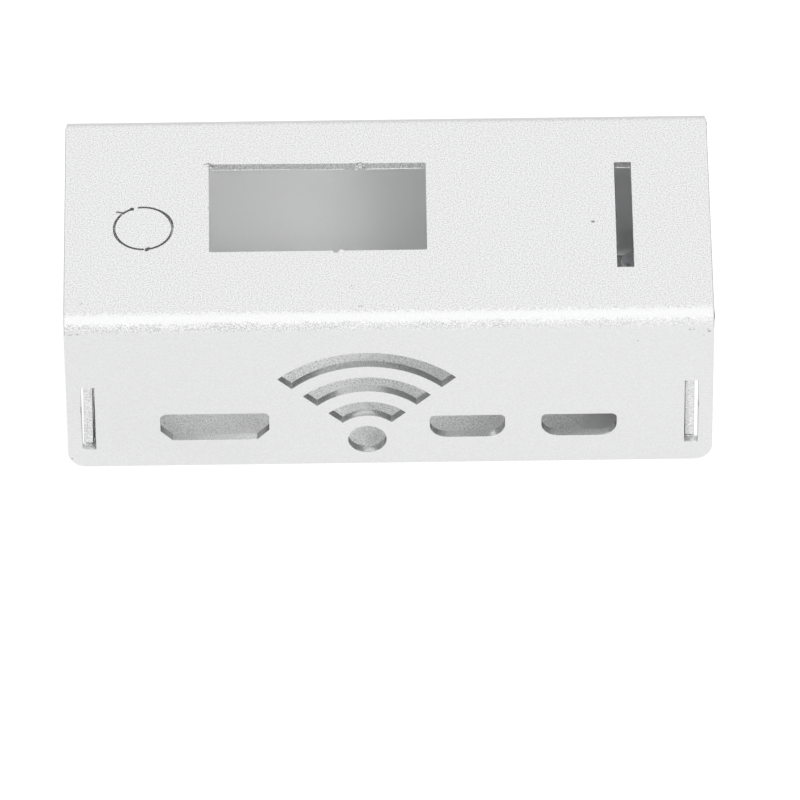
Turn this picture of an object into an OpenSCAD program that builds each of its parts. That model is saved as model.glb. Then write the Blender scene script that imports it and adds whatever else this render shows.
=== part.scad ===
// Two-piece folded aluminium case for a small single-board computer.
// The cover is a top plate with two long legs. The tray is a base plate whose end walls stand up
// inside the cover and hold it with tabs that snap into slots in the legs.
// X runs along the case, the port side faces -Y, and Z is up. The origin is at the middle of the base.

/* [Board] */
// Length of the board that the case is made for
board_w = 65; // [62:0.5:75]
// Depth of the board
board_d = 30; // [28:0.5:36]
// Thickness of the board
board_t = 1.4; // [1:0.1:2]
// Distance of the board's holes from its edges
hole_inset = 3.5; // [3:0.1:5]
// Distance from the middle of the case to the middle of the board
board_shift = 0.1; // [-0.4:0.1:0.4]

/* [Sheet] */
// Thickness of the aluminium sheet
sheet_t = 1; // [0.8:0.1:1.5]
// Inner radius of each fold
fold_r = 1; // [0.5:0.1:2]
// Radius of the free corners of the legs and the end walls
corner_r = 2.2; // [0.5:0.1:2.8]

/* [Case] */
// Height of the case
case_h = 23.85; // [21:0.05:40]
// Gap between the board's long edges and the legs
side_gap = 0.45; // [0.3:0.05:2]
// Gap between the board's short edges and the end walls
end_gap = 1.35; // [0.8:0.05:4]
// Depth of the recess outside each end wall
end_recess = 2.05; // [1.5:0.05:5]
// Gap between the tray and the cover's legs
tray_gap = 0.4; // [0.1:0.05:0.6]
// Gap between the end walls and the top plate
top_gap = 0.3; // [0.1:0.05:1]

/* [Display window] */
// Length of the window
window_w = 24.85; // [15:0.05:30]
// Depth of the window
window_d = 13.8; // [8:0.05:20]
// Distance from the board's left edge to the middle of the window
window_from_left = 24.45; // [23:0.05:30]
// Distance from the case's middle line back to the middle of the window
window_back = 1.45; // [-3:0.05:3]
// Radius of the window's corners
window_corner_r = 0.2; // [0.1:0.05:1]

/* [Light slot] */
// Width of the slot
light_w = 1.95; // [1:0.05:4]
// Length of the slot
light_len = 16.6; // [8:0.1:20]
// Distance from the board's right edge to the middle of the slot
light_from_right = 5.55; // [4:0.05:12]
// Distance from the case's middle line back to the middle of the slot
light_back = -0.3; // [-2:0.05:2]

/* [Knock-out] */
// Radius of the knock-out disc, to the middle of the cut around it
knockout_r = 3.32; // [2.5:0.01:3.8]
// Distance from the board's left edge to the middle of the disc
knockout_from_left = 4.5; // [4:0.05:6]
// Distance from the case's middle line back to the middle of the disc
knockout_back = -1.55; // [-6:0.05:6]
// Width of the laser's cut
kerf = 0.27; // [0.15:0.01:0.5]
// Diameter of the hole where the laser starts
pierce_d = 0.5; // [0.3:0.05:0.8]
// Direction of the back bridge that holds the disc
back_bridge_angle = 107; // [80:1:120]
// Width of the back bridge
back_bridge_w = 0.7; // [0.6:0.05:1.5]
// Direction of the front bridge that holds the disc
front_bridge_angle = 275; // [250:1:290]
// Width of the front bridge
front_bridge_w = 0.4; // [0.35:0.05:1.5]

/* [Wave vent] */
// Distance from the case's middle to the middle of the vent
vent_x = -2.6; // [-4:0.05:0]
// Height of the vent's centre
vent_z = 4; // [3.5:0.05:6]
// Radius of the dot
dot_r = 2.2; // [1:0.05:2.8]
// Inner radius of the smallest band
band_r = 3.95; // [3.5:0.05:5]
// Width of each band
band_w = 2.3; // [1:0.05:3]
// Distance from each band to the next
band_pitch = 4.08; // [3.8:0.01:4.5]
// Number of bands
band_count = 3; // [1:1:3]
// Angle from the vertical to the ends of each band
band_angle = 45; // [30:1:50]

/* [Ports] */
// How far the port openings reach below the board's top face
port_drop = 0.7; // [0.2:0.05:1]
// Width of the video port's opening
video_w = 12.45; // [10:0.05:14]
// Height of the video port's opening
video_h = 4.35; // [3.5:0.05:6]
// Distance from the board's left edge to the middle of the video port
video_from_left = 12.36; // [12:0.01:14]
// Radius of the opening's upper corners
video_corner_r = 0.7; // [0.2:0.05:1.2]
// Width of the sloping cut at each lower corner
video_slope_w = 1.4; // [0.5:0.05:2]
// Height of the sloping cut at each lower corner
video_slope_h = 1.6; // [0.5:0.05:2]
// Width of each micro port's opening
micro_w = 8.6; // [7:0.05:9.5]
// Height of each micro port's opening
micro_h = 3.6; // [2.8:0.05:5]
// Distance from the board's right edge to the middle of the inner micro port
inner_micro_from_right = 23.74; // [22:0.01:25]
// Distance from the board's right edge to the middle of the outer micro port
outer_micro_from_right = 10.97; // [10:0.01:12]
// Radius of the upper corners of the micro ports
micro_top_r = 0.6; // [0.2:0.05:1]
// Radius of the lower corners of the micro ports
micro_low_r = 2; // [0.5:0.05:2.1]

/* [Tabs and slots] */
// Height of the tabs' lower ends
tab_z = 3.65; // [3.4:0.05:6]
// Height of each tab
tab_h = 9.2; // [5:0.1:12]
// How far the tabs end short of the legs' outer faces
tab_recess = 0.3; // [0.1:0.05:0.6]
// Radius of the tabs' corners
tab_corner_r = 0.4; // [0.1:0.05:0.5]
// Gap in the slot on the inner side of the tab
slot_gap_in = 0.17; // [0.05:0.01:0.4]
// Gap in the slot on the outer side of the tab
slot_gap_out = 0.38; // [0.1:0.01:0.6]
// Gap in the slot below the tab
slot_gap_low = 0.8; // [0.2:0.05:1]
// Gap in the slot above the tab
slot_gap_high = 0.3; // [0.1:0.05:1]

/* [Memory card opening] */
// Length of the opening in the left end wall
card_w = 14; // [12:0.1:18]
// Height of the opening
card_h = 3.6; // [2.5:0.1:5]
// Distance from the board's front edge to the middle of the opening
card_from_front = 16.9; // [14:0.1:18]
// Radius of the opening's corners
card_corner_r = 0.8; // [0.2:0.1:1.2]

/* [Standoffs] */
// Height of the standoffs above the base plate
standoff_h = 2.5; // [2:0.1:4]
// Outer radius of each standoff
standoff_r = 2.1; // [1.8:0.05:2.4]
// Radius of the tapped hole in each standoff
thread_r = 1.05; // [0.8:0.05:1.3]
// Width across the flats of the pressed-in head
head_flats = 5.2; // [4.9:0.1:6]
// Height of the pressed-in head
head_h = 0.7; // [0.4:0.05:0.75]
// Width of the chamfer at the top of each standoff
standoff_chamfer = 0.25; // [0.1:0.05:0.4]

/* [Hidden] */
$fn = 96;
// Extra length that takes a cut past the faces it starts and ends at
past = 1;

// The case is the board with its gaps, plus the sheet around it
case_w = board_w + 2 * (end_gap + sheet_t + end_recess);
case_d = board_d + 2 * (side_gap + sheet_t);
inner_d = case_d - 2 * sheet_t;
tray_w = case_w - 2 * end_recess;
tray_d = inner_d - 2 * tray_gap;
tray_h = case_h - sheet_t - top_gap;

// Edges and faces of the board where it lies on the standoffs
board_left = board_shift - board_w / 2;
board_right = board_shift + board_w / 2;
board_front = -board_d / 2;
board_top = sheet_t + standoff_h + board_t;
port_z = board_top - port_drop;

// The slots follow the tabs
slot_w = sheet_t + slot_gap_in + slot_gap_out;
slot_h = tab_h + slot_gap_low + slot_gap_high;
slot_x = tray_w / 2 + slot_gap_out - slot_w / 2;
slot_z = tab_z - slot_gap_low;
tab_span = case_d - 2 * tab_recess;

aluminium = "#e4e5e6";
steel = "#b4b6b9";

// A rectangle that stands on the X axis, with its own radius at the lower and at the upper corners
module rounded_rect(w, h, low_r, high_r) {
    difference() {
        translate([-w / 2, 0]) square([w, h]);
        for (side = [0, 1]) mirror([side, 0]) {
            translate([-w / 2, 0]) corner_waste(low_r);
            translate([-w / 2, h]) mirror([0, 1]) corner_waste(high_r);
        }
    }
}

// What is cut from a square corner at the origin to round it; a radius of 0 leaves it square
module corner_waste(r) {
    if (r > 0) difference() {
        translate([-r, -r]) square(2 * r);
        translate([r, r]) circle(r);
    }
}

// Section of a folded channel: a web at the top and two legs down to the X axis
module channel_section(span, height) {
    difference() {
        rounded_rect(span, height, 0, fold_r + sheet_t);
        translate([0, -past]) rounded_rect(span - 2 * sheet_t, height - sheet_t + past, 0, fold_r);
    }
}

// Sweeps a profile drawn in X and Z along Y, over a length centred on the middle line
module along_y(length) {
    translate([0, length / 2, 0]) rotate([90, 0, 0]) linear_extrude(length) children();
}

// Sweeps a profile drawn in Y and Z along X, over a length centred on the middle line
module along_x(length) {
    rotate([0, 0, 90]) along_y(length) children();
}

// A cut through the front leg, drawn in X and Z
module front_cut() {
    translate([0, -case_d / 2 + sheet_t / 2, 0]) along_y(sheet_t + past) children();
}

// A cut through the top plate, drawn in X and Y
module top_cut() {
    translate([0, 0, case_h - sheet_t - past / 2]) linear_extrude(sheet_t + past) children();
}

// A sector of a circle, from one direction counter-clockwise over an angle
module sector(r, start, sweep) {
    steps = ceil(sweep / 30);
    reach = 1.2 * r;
    polygon(concat([[0, 0]], [
        for (i = [0:steps]) let (a = start + sweep * i / steps) reach * [cos(a), sin(a)]
    ]));
}

// Part of a ring
module arc_band(inner_r, outer_r, start, sweep) {
    intersection() {
        difference() {
            circle(outer_r);
            circle(inner_r);
        }
        sector(outer_r, start, sweep);
    }
}

// One laser cut around the knock-out disc, from one direction counter-clockwise to another,
// with the hole where the laser started
module knockout_cut(start, end) {
    arc_band(knockout_r - kerf / 2, knockout_r + kerf / 2, start, end - start);
    rotate(start) translate([knockout_r, 0]) circle(d = pierce_d);
}

// The cuts on both sides of the disc, which end at the bridges
module knockout() {
    back_half = back_bridge_w / 2 / knockout_r * 180 / PI;
    front_half = front_bridge_w / 2 / knockout_r * 180 / PI;
    knockout_cut(back_bridge_angle + back_half, front_bridge_angle - front_half);
    knockout_cut(front_bridge_angle + front_half, back_bridge_angle + 360 - back_half);
}

// The dot and the bands of the vent
module wave_vent() {
    translate([vent_x, vent_z]) {
        circle(dot_r);
        for (i = [0:band_count - 1]) {
            r = band_r + i * band_pitch;
            arc_band(r, r + band_w, 90 - band_angle, 2 * band_angle);
        }
    }
}

// The video port's opening, wide at the top and sloped in at the lower corners
module video_opening() {
    difference() {
        rounded_rect(video_w, video_h, video_corner_r, video_corner_r);
        for (side = [0, 1]) mirror([side, 0]) translate([-video_w / 2, 0])
            polygon([[-video_slope_w, -video_slope_h], [2 * video_slope_w, -video_slope_h],
                     [-video_slope_w, 2 * video_slope_h]]);
    }
}

// The slots that the tray's tabs snap into, through both legs
module tab_slots() {
    for (side = [-1, 1]) translate([side * slot_x - slot_w / 2, -case_d / 2 - past, slot_z])
        cube([slot_w, case_d + 2 * past, slot_h]);
}

module cover_openings() {
    top_cut() {
        translate([board_left + window_from_left, window_back - window_d / 2])
            rounded_rect(window_w, window_d, window_corner_r, window_corner_r);
        translate([board_right - light_from_right - light_w / 2, light_back - light_len / 2])
            square([light_w, light_len]);
        translate([board_left + knockout_from_left, knockout_back]) knockout();
    }
    front_cut() {
        wave_vent();
        translate([board_left + video_from_left, port_z]) video_opening();
        for (from_right = [inner_micro_from_right, outer_micro_from_right])
            translate([board_right - from_right, port_z])
                rounded_rect(micro_w, micro_h, min(micro_low_r, micro_h - micro_top_r), micro_top_r);
    }
    tab_slots();
}

// The cover: the folded channel, with the legs' free corners rounded and its openings cut
module cover() {
    color(aluminium) difference() {
        intersection() {
            along_x(case_w) channel_section(case_d, case_h);
            along_y(case_d + past) rounded_rect(case_w, case_h, corner_r, 0);
        }
        cover_openings();
    }
}

// Seen from the end: an end wall with the tabs that reach into the legs
module end_wall_outline() {
    rounded_rect(tray_d, tray_h, 0, corner_r);
    translate([0, tab_z]) rounded_rect(tab_span, tab_h, tab_corner_r, tab_corner_r);
}

// The tray: a channel that opens upwards, cut to the end walls' outline, with its tabs
module base_tray() {
    color(aluminium) difference() {
        intersection() {
            translate([0, 0, tray_h]) mirror([0, 0, 1]) along_y(case_d) channel_section(tray_w, tray_h);
            along_x(case_w) end_wall_outline();
        }
        translate([-tray_w / 2 + sheet_t / 2, board_front + card_from_front, port_z])
            along_x(2 * sheet_t) rounded_rect(card_w, card_h, card_corner_r, card_corner_r);
        for (side_x = [-1, 1], side_y = [-1, 1]) standoff_place(side_x, side_y) {
            translate([0, 0, -past]) cylinder(r = standoff_r, h = sheet_t + 2 * past);
            translate([0, 0, -past]) head_prism(head_h + past);
        }
    }
}

// The place of one standoff under the board's holes
module standoff_place(side_x, side_y) {
    translate([board_shift + side_x * (board_w / 2 - hole_inset), side_y * (board_d / 2 - hole_inset), 0])
        children();
}

// The hexagon of the pressed-in head
module head_prism(height) {
    cylinder(d = head_flats / cos(30), h = height, $fn = 6);
}

// A tapped standoff, pressed into the base plate from below with its head flush
module standoff(side_x, side_y) {
    color(steel) standoff_place(side_x, side_y) difference() {
        union() {
            head_prism(head_h);
            cylinder(r = standoff_r, h = sheet_t + standoff_h - standoff_chamfer);
            translate([0, 0, sheet_t + standoff_h - standoff_chamfer])
                cylinder(r1 = standoff_r, r2 = standoff_r - standoff_chamfer, h = standoff_chamfer);
        }
        translate([0, 0, -past]) cylinder(r = thread_r, h = sheet_t + standoff_h + 2 * past);
    }
}

module standoff_front_left() { standoff(-1, -1); }
module standoff_front_right() { standoff(1, -1); }
module standoff_back_left() { standoff(-1, 1); }
module standoff_back_right() { standoff(1, 1); }

cover();
base_tray();
standoff_front_left();
standoff_front_right();
standoff_back_left();
standoff_back_right();
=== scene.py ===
import math
import random

import bmesh
import bpy
from mathutils import Matrix, Vector


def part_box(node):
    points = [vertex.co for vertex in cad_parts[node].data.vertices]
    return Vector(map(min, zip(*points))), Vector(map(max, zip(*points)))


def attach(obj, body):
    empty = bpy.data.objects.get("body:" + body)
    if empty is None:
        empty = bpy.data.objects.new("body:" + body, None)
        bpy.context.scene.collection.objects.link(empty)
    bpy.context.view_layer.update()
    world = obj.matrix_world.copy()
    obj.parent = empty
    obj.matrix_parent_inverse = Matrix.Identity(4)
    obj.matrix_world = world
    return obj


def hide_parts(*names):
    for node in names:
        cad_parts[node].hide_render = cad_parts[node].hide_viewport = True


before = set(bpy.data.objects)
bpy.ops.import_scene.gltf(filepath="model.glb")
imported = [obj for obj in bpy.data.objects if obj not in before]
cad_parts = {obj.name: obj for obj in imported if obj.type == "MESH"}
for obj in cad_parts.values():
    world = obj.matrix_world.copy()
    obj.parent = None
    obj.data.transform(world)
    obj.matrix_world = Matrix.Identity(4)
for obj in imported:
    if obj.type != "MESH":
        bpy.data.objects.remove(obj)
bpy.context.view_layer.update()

MM = 0.001
BODY = "root"

# The camera of the photo: where it stands, how it is turned and how long its lens is
CAMERA_AT = Vector((-2.96, -920.01, 982.03)) * MM
CAMERA_PITCH = math.radians(47.075)
CAMERA_YAW = math.radians(-0.262)
CAMERA_ROLL = math.radians(0.548)
SENSOR_MM = 36
LENS_MM = 523.02

# The studio: a large soft lamp above and in front, in a white room that is darker low down.
# The small panels, most of them on the right, only add plain light, which brightens the inside.
ROOM_LEVEL = 0.965
ROOM_LOW_SHARE_FRONT = 0.96
ROOM_LOW_SHARE_BACK = 0.6
ROOM_LOW_END_FRONT = 0.12
ROOM_LOW_END_BACK = 0.5
# How much a direction points to the back where the room's front ends, and where its back begins
ROOM_FRONT_ENDS = -0.6
ROOM_BACK_BEGINS = 0.2
LAMP_LEVEL = 0.18
LAMP_TILT = math.radians(30)
LAMP_DISTANCE = 2.5
LAMP_WIDTH = 3.9
LAMP_DEPTH = 3.7
PANEL_WIDTH = 0.9
PANEL_DEPTH = 1.6
# Each panel's level, and how many degrees it is turned from straight above to the front and to the right
PANELS = [(4.4, -22, -25), (4.3, 14, -25), (2.9, -22, 19), (8.2, 14, 19), (2.1, -22, 41), (7.7, 50, 41)]
FLOOR_SIZE = 12
FLOOR_BELOW = 0.02 * MM
FLOOR_COLOUR = (0.85, 0.85, 0.85, 1)
FLOOR_SHADOW_SEEN = 0.12
FLOOR_SHADOW_MIRRORED = 0.03
FLOOR_SEEN = 0.85
FLOOR_MIRRORED = 0.884
FLOOR_MIRRORED_BEHIND = 0.735

# The cover's own sizes and the tray's end, from the solids, and the sizes of the sheet and its folds
cover_low, cover_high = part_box("cover")
COVER_TOP = cover_high.z
COVER_FRONT = cover_low.y
COVER_END = cover_high.x
SHEET = 1.0 * MM
FOLD_R = 2.0 * MM
TRAY_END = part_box("base_tray")[1].x
# How far back the floor has changed from its look at the case to its look behind it
FLOOR_FADE = -4 * COVER_FRONT
# Further than any point of the part, for an end or a top that a piece doesn't have
FAR_AWAY = 10.0

# How the edges and faces of the solids are cleaned up
WELD = 0.001 * MM
BISECT_REACH = WELD / 10
FLAT_ANGLE = math.radians(0.5)
SHARP_ANGLE = math.radians(42)
SMOOTH_ANGLE = math.radians(50)
EDGE_ROUND = 0.03 * MM
END_ROUND = 0.07 * MM
END_DEPTH = 1.2 * END_ROUND

# How much of its normal a face has along an axis: nearly all, nearly none, and the middle between them
NEARLY_ALL = 0.98
NEARLY_NONE = 0.05
HALFWAY = 0.5
# The kinds of face, in the order of the cover's materials; the tray has all but the last
OUTER, INNER, CUT_X, CUT_Y, CUT_Z, EDGE = range(6)

# The metals: colour, grain, the pitted band low on the fold with painted shade and highlights, cut lines and
# lathe rings
ALUMINIUM = (0.86, 0.862, 0.865)
# The insides' colours are set apart from the outside's as painted light and shade: the tray's inside
# lighter, the cover's darker
COVER_INSIDE_PAINTED_SHADE = (0.838, 0.84, 0.843)
TRAY_INSIDE_PAINTED_LIGHT = (0.897, 0.899, 0.902)
COVER_INSIDE_METALLIC = 0.7
TRAY_INSIDE_METALLIC = 0.45
# Each list for the cuts has a value for sheet that is thin along X, along Y and along Z; their colours
# differ as painted shade
CUT_METAL = [(0.78, 0.782, 0.785), (0.74, 0.742, 0.745), (0.765, 0.767, 0.77)]
CUT_METALLIC = [0.95, 0.9, 0.88]
CUT_ROUGHNESS = [0.42, 0.3, 0.42]
CUT_STRETCH = [0.7, 0.4, 0.4]
CUT_SHADE = [1.3, 1.2, 1.5]
CUT_LINE_SIZE = 0.12 * MM
CUT_DEPTH = 0.015 * MM
CUT_METALLIC_TAB = 0.6
TAB_CUTS_FROM = 33 * MM
# How far a cut's normal turns to the side while the cut changes to a slanted one, and to an upright one;
# both get painted shade
CUT_SLANT_TURN = (0.25, 0.7)
CUT_UPRIGHT_TURN = (0.8, 1.0)
CUT_SLANTED_PAINTED_SHADE = 0.74
CUT_UPRIGHT_PAINTED_SHADE = 0.4
# The rounded rims at the cover's ends, painted darker: painted shade
EDGE_PAINTED_SHADE = (0.5, 0.5, 0.5)
SHADED_EDGE_ROUGHNESS = 0.5
SHADED_EDGE_GRAIN_SIZE = 0.5 * MM
SHADED_EDGE_GRAIN_SHADE = 0.9
STEEL = (0.78, 0.79, 0.8)
STEEL_ROUGHNESS = 0.38
STEEL_GRAIN_SIZE = 0.4 * MM
STEEL_GRAIN_SHADE = 0.12
ROUGHNESS = 0.34
INSIDE_ROUGHNESS = 0.36
GRAIN_NOISE_ROUGHNESS = 0.6
GRAIN_SIZE = 0.15 * MM
GRAIN_HEIGHT = 0.015 * MM
COVER_INSIDE_GRAIN_SHADE = 0.15
TRAY_GRAIN_SIZE = 0.13 * MM
TRAY_GRAIN_HEIGHT = 0.07 * MM
TRAY_GRAIN_SHADE = 1.9
# The grain's shade on top and on the sides; its extra strength on top is painted light
GRAIN_SHADE_TOP_PAINTED_LIGHT = 1.6
GRAIN_SHADE_SIDE = 0.3
GRAIN_FADE = 0.2 * MM
PIT_SIZE = 0.14 * MM
PIT_DEPTH = 0.03 * MM
# The pits are real dents in the bump; their darkening is painted shade, and their glint is a painted
# highlight
PIT_PAINTED_SHADE_LEFT = 0.29
PIT_PAINTED_SHADE_RIGHT = 0.1
PIT_PAINTED_HIGHLIGHT = 0.45
PITS_HIGH = 0.85 * MM
PITS_LOW = 1.52 * MM
PITS_FADE = 0.3 * MM
PITS_DRIFT = 0.25 * MM
PITS_DRIFT_SIZE = 2.5 * MM
PITS_THINNED = 0.15
PITS_PATCH_SIZE = 3.0 * MM
PITS_LEAST = 0.65
PITS_BAND_EDGE = 0.1
# Between which two values of their noise the pits with their painted shade, the painted highlights and the
# denser patches set in
PIT_NOISE = (0.02, 0.14)
PAINTED_GLINT_NOISE = (-0.14, -0.01)
PATCH_NOISE = (-0.12, 0.12)
LATHE_STEP = 0.1 * MM
LATHE_DEPTH = 0.0015 * MM
# How far the folds' ends stick out on their inner side, left and right, and pull in on their outer side
FOLD_BULGE_LEFT = 0.02 * MM
FOLD_BULGE_RIGHT = 0.12 * MM
FOLD_PULL_FRONT_LEFT = 0.05 * MM
FOLD_PULL_BACK = 0.16 * MM

# The standoffs: places of their axes, and their sizes
BOARD_SHIFT = 0.1 * MM
HOLE_X = 29.0 * MM
HOLE_Y = 11.5 * MM
HEAD_FLATS = 5.2 * MM
HEAD_HEIGHT = 0.7 * MM
HEAD_CHAMFER = 0.12 * MM
# The reach of the head's corners at its foot, as a share of half its width
HEAD_CORNER_SHARE = 1.1
BARREL_R = 2.1 * MM
STANDOFF_TOP = 3.5 * MM
STANDOFF_CHAMFER = 0.25 * MM
STANDOFF_SIDES = 48
THREAD_INNER_R = 1.05 * MM
THREAD_OUTER_R = 1.24 * MM
THREAD_PITCH = 0.45 * MM
THREAD_STEPS = 6
THREAD_END = 0.08 * MM
BORE_MOUTH = 0.06 * MM
BORE_FOOT = 0.05 * MM


def slot_outline(x0, y0, x1, y1, radius, sides=24):
    """The outline in mm of a round-ended slot from one point to the other."""
    angle = math.atan2(y1 - y0, x1 - x0)
    points = []
    for i in range(sides):
        turn = angle + math.pi / 2 + (i + 0.5) * 2 * math.pi / sides
        x, y = (x0, y0) if i < sides // 2 else (x1, y1)
        points.append((x + radius * math.cos(turn), y + radius * math.sin(turn)))
    return points


def ring_outline(x, y, radius, start, end, inward, outward, steps=16):
    """The outline in mm of a stretch of a ring that tapers to both ends; the directions are in degrees."""
    points = []
    for side, growth in ((1, outward), (-1, inward)):
        for i in range(steps + 1)[::side]:
            angle = math.radians(start + (end - start) * i / steps)
            away = radius + side * growth * math.sin(math.pi * i / steps)
            if side == 1 or 0 < i < steps:
                points.append((x + away * math.cos(angle), y + away * math.sin(angle)))
    return points


# What the laser left on the top plate in mm: the height that each cut goes down to, and its outline
CUTTER_ABOVE_MM = 1
CUTS = [
    # The half-round nick in the window's near edge
    (22.0, slot_outline(-5.98, -5.52, -5.84, -5.52, 0.25)),
    # The two nicks in the window's left edge
    (22.0, slot_outline(-20.41, 1.55, -20.36, 1.6, 0.09)),
    (22.0, slot_outline(-20.36, 1.22, -20.3, 1.22, 0.09)),
    # The two overshoots at the window's far left corner
    (23.5, slot_outline(-20.82, 8.5, -20.25, 8.62, 0.085)),
    (23.2, slot_outline(-20.42, 8.66, -20.12, 8.44, 0.09)),
    # The slant of the window's far edge
    (22.0, [(-20.375, 8.2), (-4.0, 8.2), (-4.0, 8.355), (-20.375, 8.47)]),
    # The dip in the window's far edge
    (23.55, slot_outline(-3.25, 8.36, -2.95, 8.45, 0.1)),
    # The narrow start mark beside the knock-out's cut
    (23.45, [(-31.05, 1.12), (-30.98, 0.92), (-30.0, 0.8), (-30.0, 1.02), (-30.8, 1.2)]),
    # The two start holes of that cut, and the stretches where it is wider
    (22.0, slot_outline(-27.53, -5.0, -27.26, -4.72, 0.2)),
    (22.0, slot_outline(-29.22, 1.46, -29.14, 1.54, 0.2)),
    (22.0, ring_outline(-27.9, -1.55, 3.32, -25, 80, 0.16, 0.21)),
    (22.0, ring_outline(-27.9, -1.55, 3.32, 150, 255, 0.15, 0.17)),
    # The pinhole beside the light slot
    (23.1, slot_outline(23.45, -1.36, 23.5, -1.36, 0.19)),
]

# Beads of metal that the laser left, in mm: middle, half lengths and turn
BEAD_SEED = 5
BEAD_WOBBLE = 0.06
# So many beads, from the first, get their points in another order each run, so they are sorted
BEADS_SORTED = 2
BEADS = [
    # Beside the nick in the window's near edge
    ((-5.3, -5.42, 23.73), (0.31, 0.22, 0.15), 0.0),
    # The group on the window's far edge
    ((-3.6, 8.36, 23.6), (0.08, 0.1, 0.09), 0.0),
    ((-3.42, 8.35, 23.3), (0.11, 0.12, 0.07), 0.3),
    ((-3.1, 8.33, 23.2), (0.1, 0.14, 0.16), 0.5),
    ((-2.97, 8.33, 23.08), (0.09, 0.12, 0.08), 0.0),
    ((-3.2, 8.34, 23.05), (0.1, 0.12, 0.07), 0.0),
    ((-3.47, 8.33, 22.83), (0.09, 0.12, 0.1), 0.0),
    ((-2.63, 8.34, 23.4), (0.1, 0.1, 0.08), 0.0),
    # Beside the overshoots at the window's far left corner
    ((-20.6, 8.27, 23.83), (0.13, 0.1, 0.06), 0.0),
]

# Ridges of melted metal along the lower rims of the window and the light slot, in mm: start, end,
# thickness, and the share of it that is left after the first part
BURR_WHOLE = 0.25
BURR_STEP = 0.1 * MM
BURR_SIDES = 8
# The ridge's thickness as shares of the stated one: its range, how fast it changes, and its least
BURR_RANGE = (0.2, 1.6)
BURR_CHANGE = 0.5
BURR_LEAST = 0.1
BURRS = [
    ((-20.2, 8.44, 22.88), (-14.2, 8.4, 22.88), 0.06, 0.9),
    ((-14.1, 8.4, 22.87), (-4.9, 8.34, 22.87), 0.05, 0.7),
    ((-2.3, 8.32, 22.88), (4.3, 8.32, 22.88), 0.06, 0.9),
    ((26.2, 7.98, 22.91), (27.9, 7.98, 22.91), 0.06, 1.0),
]

# Small dark spots on the cover in mm: middle, half lengths and depth of shade. The rim is the part of
# the half lengths over which a spot fades out.
SPOT_RIM = (0.5, 1.3)
SPOTS = [
    ((-20.87, 8.46, 23.85), (0.12, 0.14, 0.4), 0.45),
    ((-20.55, 8.1, 23.85), (0.14, 0.1, 0.4), 0.4),
    ((-4.2, -11.0, 23.85), (0.12, 0.16, 0.4), 0.3),
    ((-3.85, -11.3, 23.85), (0.08, 0.09, 0.4), 0.2),
    ((-3.15, -14.2, 23.85), (0.34, 0.1, 0.4), 0.38),
    ((-34.9, -13.3, 23.85), (0.3, 0.09, 0.4), 0.3),
    ((-36.2, -16.45, 22.02), (0.35, 0.4, 0.1), 0.28),
    ((-35.35, -16.45, 22.1), (0.22, 0.4, 0.12), 0.34),
    ((34.15, -16.4, 21.65), (0.14, 0.4, 0.16), 0.34),
    ((34.6, -16.4, 21.7), (0.12, 0.4, 0.15), 0.26),
    ((36.35, -16.4, 21.35), (0.22, 0.4, 0.13), 0.5),
    ((36.2, -16.4, 21.65), (0.14, 0.4, 0.1), 0.34),
    ((35.75, -16.45, 20.68), (0.09, 0.4, 0.1), 0.3),
    ((34.85, -16.45, 19.9), (0.1, 0.4, 0.12), 0.12),
    ((28.25, -16.45, 19.9), (0.1, 0.4, 0.1), 0.4),
    ((-36.5, -16.45, 1.36), (0.14, 0.4, 0.12), 0.4),
    # Painted shade along the outer rims of the tab slots
    ((-35.26, -16.45, 8.0), (0.07, 0.3, 3.9), 0.35),
    ((-35.26, -16.45, 9.4), (0.09, 0.3, 0.75), 0.45),
    ((35.26, -16.45, 8.0), (0.06, 0.3, 3.9), 0.25),
    ((35.24, -16.45, 9.3), (0.1, 0.3, 0.65), 0.45),
]

# Small dark spots on the front tabs' ends, like those on the cover, and painted shade on the right tab's
# left edge
TAB_SPOTS = [
    ((-34.13, -16.15, 11.86), (0.12, 0.4, 0.8), 0.16),
    ((-34.3, -16.15, 10.83), (0.26, 0.4, 0.07), 0.25),
    ((-34.6, -16.15, 6.2), (0.07, 0.4, 1.4), 0.14),
    ((-34.2, -16.15, 5.2), (0.08, 0.4, 0.1), 0.25),
    # Painted shade down the right tab's left edge, which is turned from the light
    ((33.85, -16.15, 8.0), (0.4, 0.4, 9.0), 0.1),
    ((33.94, -16.15, 8.1), (0.09, 0.4, 0.14), 0.25),
    ((34.0, -16.15, 7.4), (0.1, 0.4, 0.1), 0.22),
    ((34.1, -16.15, 6.6), (0.09, 0.4, 0.12), 0.3),
    ((33.94, -16.15, 5.5), (0.08, 0.4, 0.2), 0.35),
    ((34.05, -16.15, 4.8), (0.1, 0.4, 0.1), 0.3),
]
# Painted light on the lower cut edges of the ports, which face up, so their shade is less than none
PORT_PAINTED_LIGHT = [
    ((-24.0, -16.0, 4.2), (4.6, 1.6, 0.3), -0.15),
    ((8.9, -16.0, 4.2), (4.2, 1.6, 0.3), -0.12),
    ((21.6, -16.0, 4.2), (4.4, 1.6, 0.3), -0.2),
]
# The darker cut around the knock-out disc, darker places on the window's far edge, and painted shade in the
# slot
TOP_CUT_SPOTS = [
    ((-27.9, -1.55, 23.85), (6.2, 6.2, 3.0), 0.32),
    ((-3.4, 8.38, 23.68), (0.22, 0.3, 0.14), 0.5),
    ((-2.55, 8.35, 23.15), (0.13, 0.3, 0.1), 0.35),
    ((-19.9, 8.45, 23.5), (0.5, 0.3, 0.2), 0.25),
    # Painted shade on the light slot's far wall, deep in the narrow slot
    ((27.05, 8.0, 23.6), (1.6, 0.3, 0.5), 0.16),
]
# The cuts' spots, with painted light and painted shade among them
CUT_SPOTS = [TAB_SPOTS, PORT_PAINTED_LIGHT, TOP_CUT_SPOTS]
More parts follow.
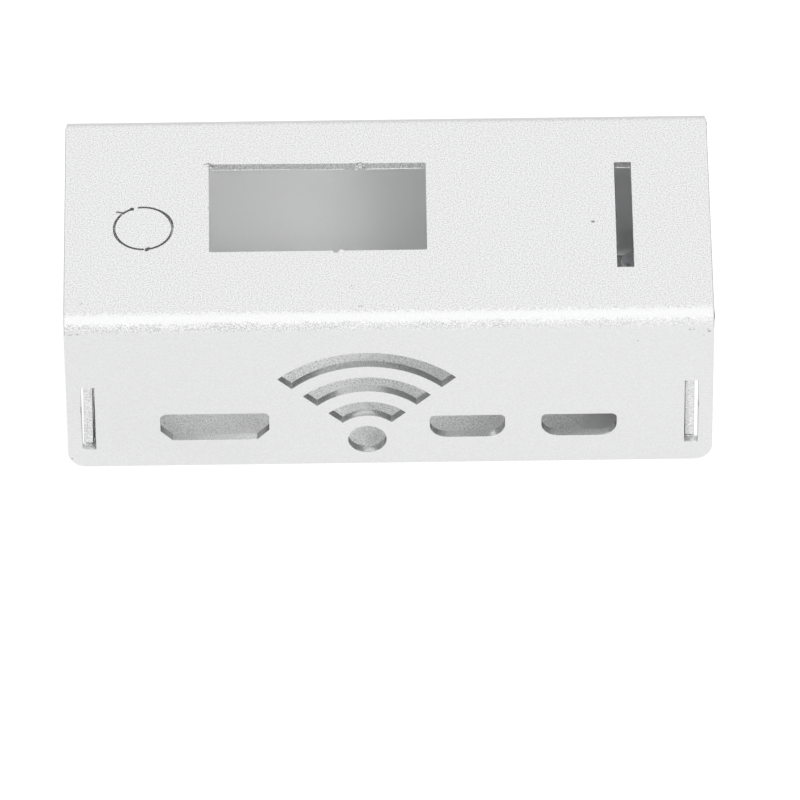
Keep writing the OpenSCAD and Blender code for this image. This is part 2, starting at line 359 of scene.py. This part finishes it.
# Ridges along the lower ends of the front tabs, like those of the window
TAB_BURRS = [
    ((-34.75, -16.16, 3.66), (-33.93, -16.16, 3.66), 0.05, 1.0),
    ((33.93, -16.16, 3.66), (34.75, -16.16, 3.66), 0.05, 1.0),
]

# Painted shade round the standoffs: the standoff's side along X and Y, its reach in mm and its depth
STANDOFF_PAINTED_SHADES = [(-1, -1, 3.2, 0.2), (-1, 1, 3.2, 0.2), (1, -1, 4.5, 0.06), (1, 1, 6.4, 0.18)]
INSIDE_PAINTED_SHADES = [((BOARD_SHIFT / MM + x * HOLE_X / MM, y * HOLE_Y / MM, 1.0), (reach, reach, reach), depth)
          for x, y, reach, depth in STANDOFF_PAINTED_SHADES]
# Painted shade on the plate behind the vent's dot, near the front leg
INSIDE_PAINTED_SHADES.append(((-2.6, -15.5, 1.0), (4.0, 3.2, 4.0), 0.14))
# Painted shade on the inner sides of the tabs, in the gaps between them and the cover
INSIDE_PAINTED_SHADES += [((x, y, 7.5), (0.8, 1.6, 8.0), depth)
           for x, depth in ((-33.8, 0.6), (33.8, 0.15)) for y in (-15.6, 15.6)]
# A smooth place of painted shadow round the front right standoff: how much grain it loses, its shade and its
# rim
SMOOTH_PAINTED_SHADE_PLACES = [((29.1, -11.5, 1.0), (7.6, 7.6, 7.6), 0.85)]
SMOOTH_PLACE_PAINTED_SHADE = 0.12
SMOOTH_RIM = (0.8, 1.05)

# How far each front tab leans to the left at its top and at its bottom, and how far its lower end is down
LEAN_LEFT_TAB = (0.06 * MM, 0.19 * MM, 0.2 * MM)
LEAN_RIGHT_TAB = (0.11 * MM, 0.04 * MM, 0.05 * MM)
# How far from the case's middle plane the tabs begin, and their lower and upper ends
TAB_ROOT = 15.05 * MM
TAB_LOW = 3.65 * MM
TAB_HIGH = 12.85 * MM


def make_camera():
    """The photo's camera, which looks down on the case from the front."""
    data = bpy.data.cameras.new("camera")
    data.sensor_width = SENSOR_MM
    data.lens = LENS_MM
    camera = bpy.data.objects.new("camera", data)
    turned = (Matrix.Rotation(CAMERA_YAW, 4, "Z") @ Matrix.Rotation(-CAMERA_PITCH, 4, "X")
              @ Matrix.Rotation(CAMERA_ROLL, 4, "Y") @ Matrix.Rotation(math.pi / 2, 4, "X"))
    camera.matrix_world = Matrix.Translation(CAMERA_AT) @ turned
    bpy.context.scene.collection.objects.link(camera)
    bpy.context.scene.camera = camera


def add_node(tree, kind, inputs=None, **settings):
    """A node with its settings; an input is a value, or a socket that it is linked to."""
    node = tree.nodes.new(kind)
    for name, value in settings.items():
        setattr(node, name, value)
    for key, value in (inputs or {}).items():
        if isinstance(value, bpy.types.NodeSocket):
            tree.links.new(value, node.inputs[key])
        else:
            node.inputs[key].default_value = value
    return node


def do_math(tree, operation, first, second=0.0):
    """The result of one sum on numbers or sockets."""
    return add_node(tree, "ShaderNodeMath", {0: first, 1: second}, operation=operation).outputs[0]


def fade(tree, value, low, high, at_low=0.0, at_high=1.0):
    """A smooth change from at_low to at_high while value goes from low to high."""
    return add_node(tree, "ShaderNodeMapRange",
                    {"Value": value, "From Min": low, "From Max": high, "To Min": at_low, "To Max": at_high},
                    interpolation_type="SMOOTHSTEP").outputs[0]


def make_room():
    """A white room, a little less bright to the metal than to the camera, and darker near the floor."""
    world = bpy.data.worlds.new("room")
    bpy.context.scene.world = world
    world.use_nodes = True
    tree = world.node_tree
    tree.nodes.clear()
    seen = add_node(tree, "ShaderNodeLightPath").outputs["Is Camera Ray"]
    way = add_node(tree, "ShaderNodeTexCoord").outputs["Generated"]
    parts = add_node(tree, "ShaderNodeSeparateXYZ", {0: way}).outputs
    low_end = fade(tree, parts["Y"], ROOM_FRONT_ENDS, ROOM_BACK_BEGINS,
                   ROOM_LOW_END_FRONT, ROOM_LOW_END_BACK)
    low_share = fade(tree, parts["Y"], ROOM_FRONT_ENDS, ROOM_BACK_BEGINS,
                     ROOM_LOW_SHARE_FRONT, ROOM_LOW_SHARE_BACK)
    low_level = do_math(tree, "MULTIPLY", low_share, ROOM_LEVEL)
    share = fade(tree, parts["Z"], 0.0, low_end, low_level, ROOM_LEVEL)
    level = add_node(tree, "ShaderNodeMix", {"Factor": seen, 2: share, 3: 1.0}, data_type="FLOAT")
    background = add_node(tree, "ShaderNodeBackground",
                          {"Color": (1, 1, 1, 1), "Strength": level.outputs[0]})
    add_node(tree, "ShaderNodeOutputWorld", {"Surface": background.outputs[0]})


def make_lamp(name, level, front, right, distance, width, depth, mirrored=True):
    """A soft lamp square to the case, turned from straight above to the front and to the right."""
    data = bpy.data.lights.new(name, "AREA")
    data.shape = "RECTANGLE"
    data.size = width
    data.size_y = depth
    data.energy = level * math.pi * width * depth
    lamp = bpy.data.objects.new(name, data)
    turned = Matrix.Rotation(right, 4, "Y") @ Matrix.Rotation(front, 4, "X")
    lamp.matrix_world = turned @ Matrix.Translation((0, 0, distance))
    lamp.visible_glossy = mirrored
    bpy.context.scene.collection.objects.link(lamp)


def make_floor():
    """A white floor that keeps the case's shadow."""
    mesh = bpy.data.meshes.new("floor")
    half = FLOOR_SIZE / 2
    corners = [(-half, -half, 0), (half, -half, 0), (half, half, 0), (-half, half, 0)]
    mesh.from_pydata(corners, [], [(0, 1, 2, 3)])
    floor = bpy.data.objects.new("floor", mesh)
    floor.location.z = -FLOOR_BELOW
    bpy.context.scene.collection.objects.link(floor)
    material = bpy.data.materials.new("floor_white")
    material.use_nodes = True
    tree = material.node_tree
    tree.nodes.clear()
    path = add_node(tree, "ShaderNodeLightPath")
    mirrored = do_math(tree, "MAXIMUM", path.outputs["Is Glossy Ray"], path.outputs["Is Transmission Ray"])
    seen = do_math(tree, "MAXIMUM", path.outputs["Is Camera Ray"], mirrored)
    back = add_node(tree, "ShaderNodeSeparateXYZ",
                    {0: add_node(tree, "ShaderNodeTexCoord").outputs["Object"]}).outputs["Y"]
    reflected = fade(tree, back, 0.0, FLOOR_FADE, FLOOR_MIRRORED, FLOOR_MIRRORED_BEHIND)
    level = add_node(tree, "ShaderNodeMapRange",
                     {"Value": mirrored, "To Min": FLOOR_SEEN, "To Max": reflected})
    glow = add_node(tree, "ShaderNodeEmission", {"Color": (1, 1, 1, 1), "Strength": level.outputs[0]})
    share = add_node(tree, "ShaderNodeMapRange",
                     {"Value": mirrored, "To Min": FLOOR_SHADOW_SEEN, "To Max": FLOOR_SHADOW_MIRRORED})
    shaded = add_node(tree, "ShaderNodeBsdfDiffuse", {"Color": share.outputs[0]})
    both = add_node(tree, "ShaderNodeAddShader", {0: glow.outputs[0], 1: shaded.outputs[0]})
    plain = add_node(tree, "ShaderNodeBsdfDiffuse", {"Color": FLOOR_COLOUR})
    mix = add_node(tree, "ShaderNodeMixShader", {0: seen, 1: plain.outputs[0], 2: both.outputs[0]})
    add_node(tree, "ShaderNodeOutputMaterial", {"Surface": mix.outputs[0]})
    mesh.materials.append(material)


def start_metal(name):
    """A new material, with the place of the point on the part."""
    material = bpy.data.materials.new(name)
    material.use_nodes = True
    tree = material.node_tree
    tree.nodes.clear()
    return material, tree, add_node(tree, "ShaderNodeTexCoord").outputs["Object"]


def end_metal(tree, colour, shade, height, roughness, metallic=1.0):
    """Joins a colour, its shade and a height in metres into the metal's surface."""
    bump = add_node(tree, "ShaderNodeBump", {"Strength": 1.0, "Distance": 1.0, "Height": height})
    base = add_node(tree, "ShaderNodeVectorMath", {0: colour, "Scale": shade}, operation="SCALE")
    metal = add_node(tree, "ShaderNodeBsdfPrincipled",
                     {"Base Color": base.outputs[0], "Metallic": metallic, "Roughness": roughness,
                      "Normal": bump.outputs[0]})
    add_node(tree, "ShaderNodeOutputMaterial", {"Surface": metal.outputs[0]})


def add_grain(tree, place, size, detail=2.0):
    """Noise around 0 with grains of one size."""
    noise = add_node(tree, "ShaderNodeTexNoise",
                     {"Vector": place, "Scale": 1 / size, "Detail": detail,
                      "Roughness": GRAIN_NOISE_ROUGHNESS})
    return do_math(tree, "SUBTRACT", noise.outputs["Fac"], 0.5)


def add_spots(tree, place, spots, rim=SPOT_RIM):
    """The share of light that spots leave; a spot is its middle, its half lengths and its depth of shade."""
    left = None
    for middle, halves, depth in spots:
        away = add_node(tree, "ShaderNodeVectorMath",
                        {0: place, 1: [v * MM for v in middle]}, operation="SUBTRACT").outputs[0]
        scaled = add_node(tree, "ShaderNodeVectorMath",
                          {0: away, 1: [1 / (v * MM) for v in halves]}, operation="MULTIPLY").outputs[0]
        reach = add_node(tree, "ShaderNodeVectorMath", {0: scaled}, operation="LENGTH").outputs["Value"]
        share = fade(tree, reach, *rim, 1 - depth, 1.0)
        left = share if left is None else do_math(tree, "MULTIPLY", left, share)
    return left


def make_outside(name, top, spots=()):
    """Blasted and anodised aluminium; painted light makes its grain stronger on top, and the fold's lower
    half is pitted, with painted shade and highlights.
    """
    material, tree, place = start_metal(name)
    high = add_node(tree, "ShaderNodeSeparateXYZ", {0: place}).outputs["Z"]
    # The grain's colour swings more on top as painted light, where the top catches the light
    strength = fade(tree, high, top - GRAIN_FADE, top, GRAIN_SHADE_SIDE, GRAIN_SHADE_TOP_PAINTED_LIGHT)
    grain = add_grain(tree, place, GRAIN_SIZE)
    shade = do_math(tree, "ADD", 1.0, do_math(tree, "MULTIPLY", grain, strength))
    drift = do_math(tree, "MULTIPLY", add_grain(tree, place, PITS_DRIFT_SIZE, 1.0), PITS_DRIFT)
    level = do_math(tree, "ADD", high, drift)
    band = do_math(tree, "MULTIPLY", fade(tree, level, top - PITS_LOW - PITS_FADE, top - PITS_LOW),
                   fade(tree, level, top - PITS_HIGH, top - PITS_HIGH + PITS_FADE, 1.0, 0.0))
    thinned = do_math(tree, "MULTIPLY", do_math(tree, "SUBTRACT", 1.0, band), PITS_THINNED)
    coarse = add_grain(tree, place, PIT_SIZE, 1.0)
    # Painted shade in the pits and painted highlights beside them, from one coarse noise
    pits = fade(tree, do_math(tree, "SUBTRACT", coarse, thinned), *PIT_NOISE)
    painted_glints = fade(tree, do_math(tree, "ADD", coarse, thinned), *PAINTED_GLINT_NOISE, 1.0, 0.0)
    patches = fade(tree, add_grain(tree, place, PITS_PATCH_SIZE, 1.0), *PATCH_NOISE, PITS_LEAST, 1.0)
    pits = do_math(tree, "MULTIPLY", pits, patches)
    inside = fade(tree, band, 0.0, PITS_BAND_EDGE)
    pits = do_math(tree, "MULTIPLY", pits, inside)
    painted_glints = do_math(tree, "MULTIPLY", painted_glints, inside)
    right = add_node(tree, "ShaderNodeSeparateXYZ", {0: place}).outputs["X"]
    pit_painted_shade = fade(tree, right, -COVER_END, COVER_END, PIT_PAINTED_SHADE_LEFT, PIT_PAINTED_SHADE_RIGHT)
    shade = do_math(tree, "SUBTRACT", shade, do_math(tree, "MULTIPLY", pits, pit_painted_shade))
    shade = do_math(tree, "ADD", shade, do_math(tree, "MULTIPLY", painted_glints, PIT_PAINTED_HIGHLIGHT))
    if spots:
        shade = do_math(tree, "MULTIPLY", shade, add_spots(tree, place, spots))
    height = do_math(tree, "SUBTRACT", do_math(tree, "MULTIPLY", grain, GRAIN_HEIGHT),
                     do_math(tree, "MULTIPLY", pits, PIT_DEPTH))
    end_metal(tree, ALUMINIUM, shade, height, ROUGHNESS)
    return material


def make_inside(name, colour, size, height, shade_share, metallic, spots=(), smooth=()):
    """The same metal inside, its colour set apart from the outside's as painted light and shade for the
    inside, with places that are smooth.
    """
    material, tree, place = start_metal(name)
    grain = add_grain(tree, place, size)
    if smooth:
        grain = do_math(tree, "MULTIPLY", grain, add_spots(tree, place, smooth, SMOOTH_RIM))
    shade = do_math(tree, "ADD", 1.0, do_math(tree, "MULTIPLY", grain, shade_share))
    # Painted shade from the spots given
    if spots:
        shade = do_math(tree, "MULTIPLY", shade, add_spots(tree, place, spots))
    # Painted shadow over the smooth places, which also lose their grain
    for middle, halves, _ in smooth:
        shade = do_math(tree, "MULTIPLY", shade,
                        add_spots(tree, place, [(middle, halves, SMOOTH_PLACE_PAINTED_SHADE)], SMOOTH_RIM))
    end_metal(tree, colour, shade, do_math(tree, "MULTIPLY", grain, height), INSIDE_ROUGHNESS, metallic)
    return material


def make_cut(name, along, spots):
    """The cut edge of sheet that is thin along one axis; in the legs, cuts that face sideways get painted
    shade.
    """
    material, tree, place = start_metal(name)
    stretch = [CUT_STRETCH[along] if i == along else 1.0 for i in range(3)]
    drawn = add_node(tree, "ShaderNodeVectorMath", {0: place, 1: stretch}, operation="MULTIPLY").outputs[0]
    lines = add_grain(tree, drawn, CUT_LINE_SIZE)
    shade = do_math(tree, "ADD", 1.0, do_math(tree, "MULTIPLY", lines, CUT_SHADE[along]))
    shade = do_math(tree, "MULTIPLY", shade, add_spots(tree, place, spots))
    metallic, roughness = CUT_METALLIC[along], CUT_ROUGHNESS[along]
    if along == 1:
        across = do_math(tree, "ABSOLUTE", add_node(tree, "ShaderNodeSeparateXYZ", {0: place}).outputs["X"])
        metallic = fade(tree, across, TAB_CUTS_FROM, TAB_CUTS_FROM + FOLD_R / 4, metallic, CUT_METALLIC_TAB)
        facing = add_node(tree, "ShaderNodeNewGeometry").outputs["Normal"]
        slant = do_math(tree, "ABSOLUTE", add_node(tree, "ShaderNodeSeparateXYZ", {0: facing}).outputs["X"])
        # Painted shade on the cuts that face sideways, darkest on the upright ones
        slanted = fade(tree, slant, *CUT_SLANT_TURN, 1.0, CUT_SLANTED_PAINTED_SHADE)
        upright = fade(tree, slant, *CUT_UPRIGHT_TURN, 1.0, CUT_UPRIGHT_PAINTED_SHADE)
        shade = do_math(tree, "MULTIPLY", do_math(tree, "MULTIPLY", shade, slanted), upright)
    height = do_math(tree, "MULTIPLY", lines, CUT_DEPTH)
    end_metal(tree, CUT_METAL[along], shade, height, roughness, metallic)
    return material


def make_shaded_edge(name):
    """The rounded rim at the ends of the cover, given a darker colour than the blasted faces as painted
    shade.
    """
    material, tree, place = start_metal(name)
    grain = add_grain(tree, place, SHADED_EDGE_GRAIN_SIZE)
    shade = do_math(tree, "ADD", 1.0, do_math(tree, "MULTIPLY", grain, SHADED_EDGE_GRAIN_SHADE))
    end_metal(tree, EDGE_PAINTED_SHADE, shade, 0.0, SHADED_EDGE_ROUGHNESS)
    return material


def make_steel(name, columns):
    """Zinc-plated steel with the fine rings that the lathe left; columns is the place of one standoff."""
    material, tree, place = start_metal(name)
    centred = add_node(tree, "ShaderNodeVectorMath", {0: place, 1: (BOARD_SHIFT, 0, 0)},
                       operation="SUBTRACT")
    folded = add_node(tree, "ShaderNodeVectorMath", {0: centred.outputs[0]}, operation="ABSOLUTE")
    local = add_node(tree, "ShaderNodeVectorMath", {0: folded.outputs[0], 1: columns}, operation="SUBTRACT")
    parts = add_node(tree, "ShaderNodeSeparateXYZ", {0: local.outputs[0]}).outputs
    radius = do_math(tree, "SQRT", do_math(tree, "ADD", do_math(tree, "POWER", parts["X"], 2.0),
                                           do_math(tree, "POWER", parts["Y"], 2.0)))
    rings = do_math(tree, "SINE", do_math(tree, "MULTIPLY", do_math(tree, "ADD", radius, parts["Z"]),
                                          2 * math.pi / LATHE_STEP))
    grain = add_grain(tree, place, STEEL_GRAIN_SIZE)
    shade = do_math(tree, "ADD", 1.0, do_math(tree, "MULTIPLY", grain, STEEL_GRAIN_SHADE))
    end_metal(tree, STEEL, shade, do_math(tree, "MULTIPLY", rings, LATHE_DEPTH), STEEL_ROUGHNESS)
    return material


def column(bottom, top, outline):
    """A closed prism in mm that stands along Z, as a mesh to cut with."""
    tool = bmesh.new()
    rings = [[tool.verts.new(Vector((x, y, z)) * MM) for x, y in outline] for z in (bottom, top)]
    tool.faces.new(reversed(rings[0]))
    tool.faces.new(rings[1])
    for i in range(len(outline)):
        j = (i + 1) % len(outline)
        tool.faces.new((rings[0][i], rings[0][j], rings[1][j], rings[1][i]))
    return tool


def carve(mesh, tools):
    """A copy of the mesh with the tools cut out of it."""
    block = bpy.data.objects.new("carved", mesh)
    bpy.context.scene.collection.objects.link(block)
    for tool in tools:
        tool_mesh = bpy.data.meshes.new("tool")
        tool.to_mesh(tool_mesh)
        tool.free()
        cutter = bpy.data.objects.new("tool", tool_mesh)
        bpy.context.scene.collection.objects.link(cutter)
        cut = block.modifiers.new("cut", "BOOLEAN")
        cut.operation = "DIFFERENCE"
        cut.solver = "EXACT"
        cut.object = cutter
        graph = bpy.context.evaluated_depsgraph_get()
        block.data = bpy.data.meshes.new_from_object(block.evaluated_get(graph))
        block.modifiers.clear()
        bpy.data.objects.remove(cutter)
    carved = block.data
    bpy.data.objects.remove(block)
    return carved


def solid_skin(mesh, end):
    """The mesh, welded, with its flat faces joined and its cut edges rounded."""
    skin = bmesh.new()
    skin.from_mesh(mesh)
    bmesh.ops.remove_doubles(skin, verts=skin.verts, dist=WELD)
    bmesh.ops.dissolve_limit(skin, angle_limit=FLAT_ANGLE, verts=skin.verts, edges=skin.edges)
    for at_end, size in ((False, EDGE_ROUND), (True, END_ROUND)):
        sharp = [e for e in skin.edges if e.calc_face_angle(0) > SHARP_ANGLE
                 and all(abs(v.co.x) > end - WELD for v in e.verts) == at_end]
        bmesh.ops.bevel(skin, geom=sharp, offset=size, offset_type="OFFSET", segments=2, profile=0.5,
                        affect="EDGES", clamp_overlap=False)
    return skin


def add_bead(skin, middle, halves, turn, in_order):
    """A small blob of metal in mm, sunk partly into the sheet; its points are sorted if asked."""
    place = (Matrix.Translation(Vector(middle) * MM) @ Matrix.Rotation(turn, 4, "Y")
             @ Matrix.Diagonal((*[v * MM for v in halves], 1)))
    verts = bmesh.ops.create_icosphere(skin, subdivisions=3, radius=1.0, matrix=place)["verts"]
    if in_order:
        verts = sorted(verts, key=lambda vert: vert.co[:])
    for vert in verts:
        wobble = bead_noise.uniform(-BEAD_WOBBLE, BEAD_WOBBLE) * MM * min(halves)
        vert.co += Vector((wobble, wobble, -wobble))


def add_burr(skin, start, end, thickness, share):
    """A thin broken ridge of melted metal in mm, along the lower rim of a cut."""
    start, end = Vector(start) * MM, Vector(end) * MM
    count = round((end - start).length / BURR_STEP)
    rows, thick = [], thickness
    for i in range(count + 1):
        thick += (bead_noise.uniform(*BURR_RANGE) * thickness - thick) * BURR_CHANGE
        radius = max(thick * (share if i / count > BURR_WHOLE else 1.0), BURR_LEAST * thickness) * MM
        middle = start.lerp(end, i / count)
        rows.append([skin.verts.new(middle + Vector((0, radius * math.cos(a), radius * math.sin(a))))
                     for a in (j * 2 * math.pi / BURR_SIDES for j in range(BURR_SIDES))])
    for first, second in zip(rows, rows[1:]):
        for j in range(BURR_SIDES):
            after = (j + 1) % BURR_SIDES
            face = skin.faces.new((first[j], second[j], second[after], first[after]))
            face.material_index = CUT_Z
    skin.faces.new(rows[0])
    skin.faces.new(reversed(rows[-1]))


def bulge_fold_ends(skin):
    """Pushes the folds' ends out on their inner side and in on their outer side, as bending does."""
    for side in (-1, 1):
        for point, normal in (((0, side * (-COVER_FRONT - FOLD_R), 0), (0, 1, 0)),
                              ((0, 0, COVER_TOP - FOLD_R), (0, 0, 1))):
            bmesh.ops.bisect_plane(skin, geom=skin.verts[:] + skin.edges[:] + skin.faces[:],
                                   dist=BISECT_REACH, plane_co=point, plane_no=normal)
    for vert in skin.verts:
        side = FOLD_R - (-COVER_FRONT - abs(vert.co.y))
        up = FOLD_R - (COVER_TOP - vert.co.z)
        if side <= 0 or up <= 0 or abs(vert.co.x) < COVER_END - 2 * END_ROUND:
            continue
        depth = min(max((FOLD_R - math.hypot(side, up)) / SHEET, 0.0), 1.0)
        bulge = FOLD_BULGE_LEFT if vert.co.x < 0 else FOLD_BULGE_RIGHT
        pull = FOLD_PULL_BACK if vert.co.y > 0 else FOLD_PULL_FRONT_LEFT if vert.co.x < 0 else 0.0
        push = (bulge * depth - pull * (1 - depth)) * math.sin(2 * math.atan2(up, side))
        vert.co.x += push * math.copysign(1.0, vert.co.x)


def lean_tabs(skin):
    """Leans the front tabs to the left in their slots, and lowers their lower ends a little."""
    for vert in skin.verts:
        if vert.co.y > -TAB_ROOT - WELD:
            continue
        at_top, at_bottom, down = LEAN_LEFT_TAB if vert.co.x < 0 else LEAN_RIGHT_TAB
        share = (vert.co.z - TAB_LOW) / (TAB_HIGH - TAB_LOW)
        vert.co.x -= at_bottom + (at_top - at_bottom) * share
        vert.co.z -= down * (1 - share)


def make_standoff(middle):
    """A tapped standoff with its six-sided head at the bottom and a real thread in its bore."""
    skin = bmesh.new()
    rows = round(STANDOFF_TOP / THREAD_PITCH * THREAD_STEPS)

    def ring(radius_at, height_at):
        made = []
        for i in range(STANDOFF_SIDES):
            angle = 2 * math.pi * i / STANDOFF_SIDES
            radius = radius_at(angle)
            x, y = middle.x + radius * math.cos(angle), middle.y + radius * math.sin(angle)
            made.append(skin.verts.new((x, y, height_at(angle))))
        return made

    def hexagon(angle):
        return HEAD_FLATS / 2 / math.cos((angle + math.pi / 6) % (math.pi / 3) - math.pi / 6)

    def flat(value):
        return lambda angle: value

    outline = [
        (lambda a: min(hexagon(a), HEAD_FLATS / 2 * HEAD_CORNER_SHARE) - HEAD_CHAMFER, 0.0),
        (hexagon, HEAD_CHAMFER),
        (hexagon, HEAD_HEIGHT - HEAD_CHAMFER / 2),
        (lambda a: hexagon(a) - HEAD_CHAMFER / 2, HEAD_HEIGHT),
        (flat(BARREL_R), HEAD_HEIGHT),
        (flat(BARREL_R), STANDOFF_TOP - STANDOFF_CHAMFER),
        (flat(BARREL_R - STANDOFF_CHAMFER), STANDOFF_TOP),
        (flat(THREAD_OUTER_R + BORE_MOUTH), STANDOFF_TOP),
    ]
    rings = [ring(radius_at, flat(height)) for radius_at, height in outline]
    for row in range(rows, -1, -1):
        height = (STANDOFF_TOP - 2 * THREAD_END) * row / rows + THREAD_END

        def thread(angle, height=height):
            wave = abs((height / THREAD_PITCH - angle / (2 * math.pi)) % 1.0 - 0.5) * 2
            return THREAD_INNER_R + (THREAD_OUTER_R - THREAD_INNER_R) * wave
        rings.append(ring(thread, flat(height)))
    rings.append(ring(flat(THREAD_OUTER_R + BORE_FOOT), flat(0.0)))
    for first, second in zip(rings, rings[1:] + rings[:1]):
        for i in range(STANDOFF_SIDES):
            j = (i + 1) % STANDOFF_SIDES
            skin.faces.new((first[i], first[j], second[j], second[i]))
    bmesh.ops.recalc_face_normals(skin, faces=skin.faces)
    return skin


def finish_piece(skin, node, materials, kind_of):
    """Makes the object that replaces a node, with each face's material and its normals."""
    mesh = bpy.data.meshes.new(node + "_finished")
    for face in skin.faces:
        face.material_index = kind_of(face)
        face.smooth = True
    skin.to_mesh(mesh)
    skin.free()
    for material in materials:
        mesh.materials.append(material)
    mesh.set_sharp_from_angle(angle=SMOOTH_ANGLE)
    piece = bpy.data.objects.new(node + "_finished", mesh)
    bpy.context.scene.collection.objects.link(piece)
    weighted = piece.modifiers.new("weighted", "WEIGHTED_NORMAL")
    weighted.keep_sharp = True
    graph = bpy.context.evaluated_depsgraph_get()
    piece.data = bpy.data.meshes.new_from_object(piece.evaluated_get(graph))
    piece.modifiers.clear()
    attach(piece, BODY)
    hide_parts(node)


def beyond_sheet(side, up):
    """Whether a point of a fold is on its outer side, by its distances from the two outer faces."""
    return math.hypot(FOLD_R - side, FOLD_R - up) > FOLD_R - SHEET / 2


def sheet_kind(side, up, side_cut, up_cut, in_side_cut, in_up_cut):
    """The kind of face on a folded sheet, by how deep it is under the side wall and the flat."""
    if up < SHEET and side > FOLD_R and in_up_cut:
        return up_cut
    if side < SHEET and up > FOLD_R and in_side_cut:
        return side_cut
    if side < FOLD_R and up < FOLD_R:
        return OUTER if beyond_sheet(side, up) else INNER
    return OUTER if min(side, up) < SHEET / 2 else INNER


def cover_kind(face):
    """Whether a face of the cover is its outside, its inside or a cut edge, if that isn't settled yet."""
    if face.material_index:
        return face.material_index
    place, normal = face.calc_center_median(), face.normal
    side, up = -COVER_FRONT - abs(place.y), COVER_TOP - place.z
    if abs(place.x) > COVER_END - END_DEPTH:
        if NEARLY_NONE < abs(normal.x) < NEARLY_ALL and up < FOLD_R:
            return EDGE
        if abs(normal.x) > HALFWAY:
            return CUT_Z if up < side else CUT_Y
    return sheet_kind(side, up, CUT_Y, CUT_Z, abs(normal.y) < HALFWAY, abs(normal.z) < HALFWAY)


def tray_kind(face):
    """Whether a face of the tray is its outside, its inside or a cut edge of the sheet."""
    place, normal = face.calc_center_median(), face.normal
    side, up = TRAY_END - abs(place.x), place.z
    return sheet_kind(side, up, CUT_X, CUT_Z, abs(normal.x) < HALFWAY, abs(normal.z) < HALFWAY)


# The studio
bpy.context.scene.view_settings.view_transform = "Standard"
bpy.context.scene.cycles.glossy_bounces = bpy.context.scene.cycles.max_bounces
make_camera()
make_room()
make_lamp("soft_lamp", LAMP_LEVEL, LAMP_TILT, 0, LAMP_DISTANCE, LAMP_WIDTH, LAMP_DEPTH)
for level, front, right in PANELS:
    make_lamp("panel", level, math.radians(front), math.radians(right), LAMP_DISTANCE,
              PANEL_WIDTH, PANEL_DEPTH, mirrored=False)
make_floor()

# The materials
cover_outside = make_outside("blasted_aluminium", COVER_TOP, SPOTS)
tray_outside = make_outside("tray_aluminium", FAR_AWAY)
cover_inside = make_inside("cover_inner_aluminium", COVER_INSIDE_PAINTED_SHADE, GRAIN_SIZE, GRAIN_HEIGHT,
                           COVER_INSIDE_GRAIN_SHADE, COVER_INSIDE_METALLIC)
tray_inside = make_inside("tray_inner_aluminium", TRAY_INSIDE_PAINTED_LIGHT, TRAY_GRAIN_SIZE, TRAY_GRAIN_HEIGHT,
                          TRAY_GRAIN_SHADE, TRAY_INSIDE_METALLIC, INSIDE_PAINTED_SHADES, SMOOTH_PAINTED_SHADE_PLACES)
cuts = [make_cut("cut_aluminium_" + "xyz"[i], i, CUT_SPOTS[i]) for i in range(3)]
painted_shade_edge = make_shaded_edge("painted_shade_edge")
steel = make_steel("zinc_plated_steel", (HOLE_X, HOLE_Y, 0))

# The pieces; the beads and burrs draw on one seeded source of chance, in this order
bead_noise = random.Random(BEAD_SEED)
tools = [column(bottom, COVER_TOP / MM + CUTTER_ABOVE_MM, outline) for bottom, outline in CUTS]
cover = solid_skin(carve(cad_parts["cover"].data.copy(), tools), COVER_END)
bulge_fold_ends(cover)
for number, (middle, halves, turn) in enumerate(BEADS):
    add_bead(cover, middle, halves, turn, number < BEADS_SORTED)
for start, end, thickness, share in BURRS:
    add_burr(cover, start, end, thickness, share)
finish_piece(cover, "cover", [cover_outside, cover_inside, *cuts, painted_shade_edge], cover_kind)

tray = solid_skin(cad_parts["base_tray"].data, FAR_AWAY)
for start, end, thickness, share in TAB_BURRS:
    add_burr(tray, start, end, thickness, share)
lean_tabs(tray)
finish_piece(tray, "base_tray", [tray_outside, tray_inside, *cuts], tray_kind)
for name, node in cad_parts.items():
    if name.startswith("standoff"):
        low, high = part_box(name)
        finish_piece(make_standoff((low + high) / 2), name, [steel], lambda face: 0)
